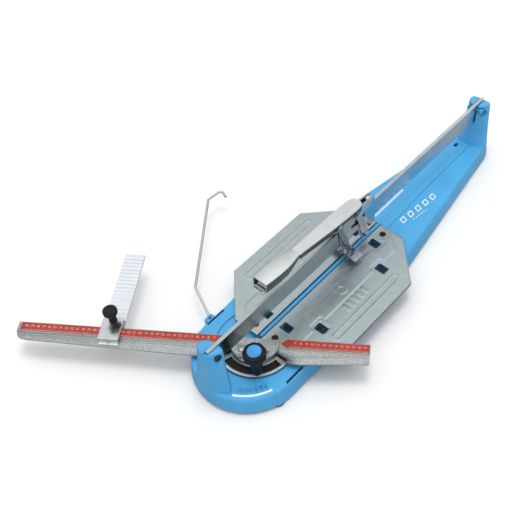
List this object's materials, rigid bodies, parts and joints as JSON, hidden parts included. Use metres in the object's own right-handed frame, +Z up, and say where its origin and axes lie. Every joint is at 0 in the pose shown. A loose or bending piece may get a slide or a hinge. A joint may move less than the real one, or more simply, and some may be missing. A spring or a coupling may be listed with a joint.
{
  "type": "tile cutter",
  "caption": "Pull-handle tile cutter: cast base, flat guide rail with a rolling lever carriage, sprung table plates, swivelling measuring bar with a side stop, wire support arm.",
  "frame": {"origin": "middle of the overall box in plan, at the level the feet stand on", "axes": "+Y along the rail from the measuring bar to the rear post, +Z up, +X to the right of someone at the measuring-bar end who looks along the rail"},
  "size_m": [0.5267, 0.9559, 0.1917],
  "materials": {
    "blue_paint": "gloss",
    "blue_plastic": "satin",
    "galvanised_sheet": "satin",
    "bright_steel": "polished",
    "rail_steel": "satin",
    "zinc_plated": "gloss",
    "grip_sheet": "satin",
    "cast_aluminium": "satin",
    "red_scale": "satin",
    "black_plastic": "matte",
    "black_steel": "satin",
    "foot_rubber": "matte",
    "brass": "satin",
    "wire_plating": "polished",
    "fence_grey": "satin",
    "label_white": "satin"
  },
  "bodies": {
    "base": {"base_casting": "blue_paint", "foot_front_left": "foot_rubber", "foot_front_right": "foot_rubber", "foot_rear_left": "foot_rubber", "foot_rear_right": "foot_rubber", "front_post": "blue_paint", "rear_post": "blue_paint", "guide_rail": "rail_steel", "rail_bolt_front": "black_steel", "rail_bolt_rear": "black_steel", "deck_scale": "label_white", "plate_pin_left_front": "black_steel", "plate_pin_left_rear": "black_steel", "plate_pin_right_front": "black_steel", "plate_pin_right_rear": "black_steel", "plate_spring_left_front": "bright_steel", "plate_spring_left_rear": "bright_steel", "plate_spring_right_front": "bright_steel", "plate_spring_right_rear": "bright_steel", "pivot_bolt": "bright_steel", "side_arm_bracket": "blue_paint"},
    "table_left": {"plate_left": "galvanised_sheet", "plate_bushing_left_front": "brass", "plate_bushing_left_rear": "brass"},
    "table_right": {"plate_right": "galvanised_sheet", "plate_bushing_right_front": "brass", "plate_bushing_right_rear": "brass"},
    "bar": {"measuring_bar": "cast_aluminium", "scale_left": "red_scale", "scale_right": "red_scale", "quadrant_plate": "cast_aluminium", "bar_screw_left": "bright_steel", "bar_screw_right": "bright_steel"},
    "clamp": {"clamp_knob": "black_plastic", "clamp_knob_cap": "blue_plastic", "clamp_stud": "bright_steel", "clamp_washer": "bright_steel"},
    "stop": {"stop_slider": "grip_sheet", "stop_fence": "fence_grey"},
    "stop_screw": {"stop_thumb_screw": "black_plastic"},
    "support_arm": {"side_arm": "wire_plating"},
    "carriage": {"carriage_plate_left": "zinc_plated", "carriage_plate_right": "zinc_plated", "roller_pin_top_front": "bright_steel", "roller_pin_top_rear": "bright_steel", "roller_pin_low_front": "bright_steel", "roller_pin_low_rear": "bright_steel"},
    "lever": {"handle_lever": "zinc_plated", "handle_grip": "grip_sheet", "handle_pin": "bright_steel", "breaker_pin": "bright_steel", "breaker_yoke": "zinc_plated", "wheel_arm_left": "zinc_plated", "wheel_arm_right": "zinc_plated", "wheel_axle": "bright_steel"},
    "wheel": {"scoring_wheel": "bright_steel"},
    "roller_top_front_body": {"roller_top_front": "bright_steel"},
    "roller_top_rear_body": {"roller_top_rear": "bright_steel"},
    "roller_low_front_body": {"roller_low_front": "bright_steel"},
    "roller_low_rear_body": {"roller_low_rear": "bright_steel"}
  },
  "joints": [
    {"name": "carriage_slide", "type": "slide", "parent": "base", "child": "carriage", "axis": [0, 1, 0], "range_m": [-0.215, 0.315]},
    {"name": "handle_pivot", "type": "hinge", "parent": "carriage", "child": "lever", "pos_m": [0.0754, 0.0487, 0.15], "axis": [-1, 0, 0], "range_deg": [0, 25]},
    {"name": "scoring_wheel_spin", "type": "hinge", "parent": "lever", "child": "wheel", "pos_m": [0.0754, 0.0737, 0.074], "axis": [1, 0, 0], "continuous": true},
    {"name": "roller_top_front_spin", "type": "hinge", "parent": "carriage", "child": "roller_top_front_body", "pos_m": [0.0754, 0.0097, 0.1453], "axis": [1, 0, 0], "continuous": true},
    {"name": "roller_top_rear_spin", "type": "hinge", "parent": "carriage", "child": "roller_top_rear_body", "pos_m": [0.0754, 0.0907, 0.1453], "axis": [1, 0, 0], "continuous": true},
    {"name": "roller_low_front_spin", "type": "hinge", "parent": "carriage", "child": "roller_low_front_body", "pos_m": [0.0754, 0.0147, 0.0857], "axis": [1, 0, 0], "continuous": true},
    {"name": "roller_low_rear_spin", "type": "hinge", "parent": "carriage", "child": "roller_low_rear_body", "pos_m": [0.0754, 0.0927, 0.0857], "axis": [1, 0, 0], "continuous": true},
    {"name": "bar_pivot", "type": "hinge", "parent": "base", "child": "bar", "pos_m": [0.0754, -0.2213, 0.051], "axis": [0, 0, 1], "range_deg": [-34.7, 10.3]},
    {"name": "clamp_knob_turn", "type": "hinge", "parent": "base", "child": "clamp", "pos_m": [0.11747, -0.26337, 0.06], "axis": [0, 0, 1], "range_deg": [0, 270]},
    {"name": "stop_slide", "type": "slide", "parent": "bar", "child": "stop", "axis": [0.8221, 0.5693, 0], "range_m": [-0.14, 0.185]},
    {"name": "stop_screw_turn", "type": "hinge", "parent": "stop", "child": "stop_screw", "pos_m": [-0.13549, -0.35589, 0.07], "axis": [0, 0, 1], "range_deg": [0, 270]},
    {"name": "support_arm_swing", "type": "hinge", "parent": "base", "child": "support_arm", "pos_m": [-0.0331, -0.2293, 0.02], "axis": [0, 0, 1], "range_deg": [-30, 60]},
    {"name": "table_left_dip", "type": "slide", "parent": "base", "child": "table_left", "axis": [0, 0, 1], "range_m": [-0.003, 0], "stiffness_N_per_m": 6000, "springref_m": 0.003, "deforming": ["plate_spring_left_front", "plate_spring_left_rear"]},
    {"name": "table_right_dip", "type": "slide", "parent": "base", "child": "table_right", "axis": [0, 0, 1], "range_m": [-0.003, 0], "stiffness_N_per_m": 6000, "springref_m": 0.003, "deforming": ["plate_spring_right_front", "plate_spring_right_rear"]}
  ],
  "couplings": [
    {"joint": "roller_top_front_spin", "follows": "carriage_slide", "rad_per_m": -111.11},
    {"joint": "roller_top_rear_spin", "follows": "carriage_slide", "rad_per_m": -111.11},
    {"joint": "roller_low_front_spin", "follows": "carriage_slide", "rad_per_m": 142.86},
    {"joint": "roller_low_rear_spin", "follows": "carriage_slide", "rad_per_m": 142.86}
  ]
}
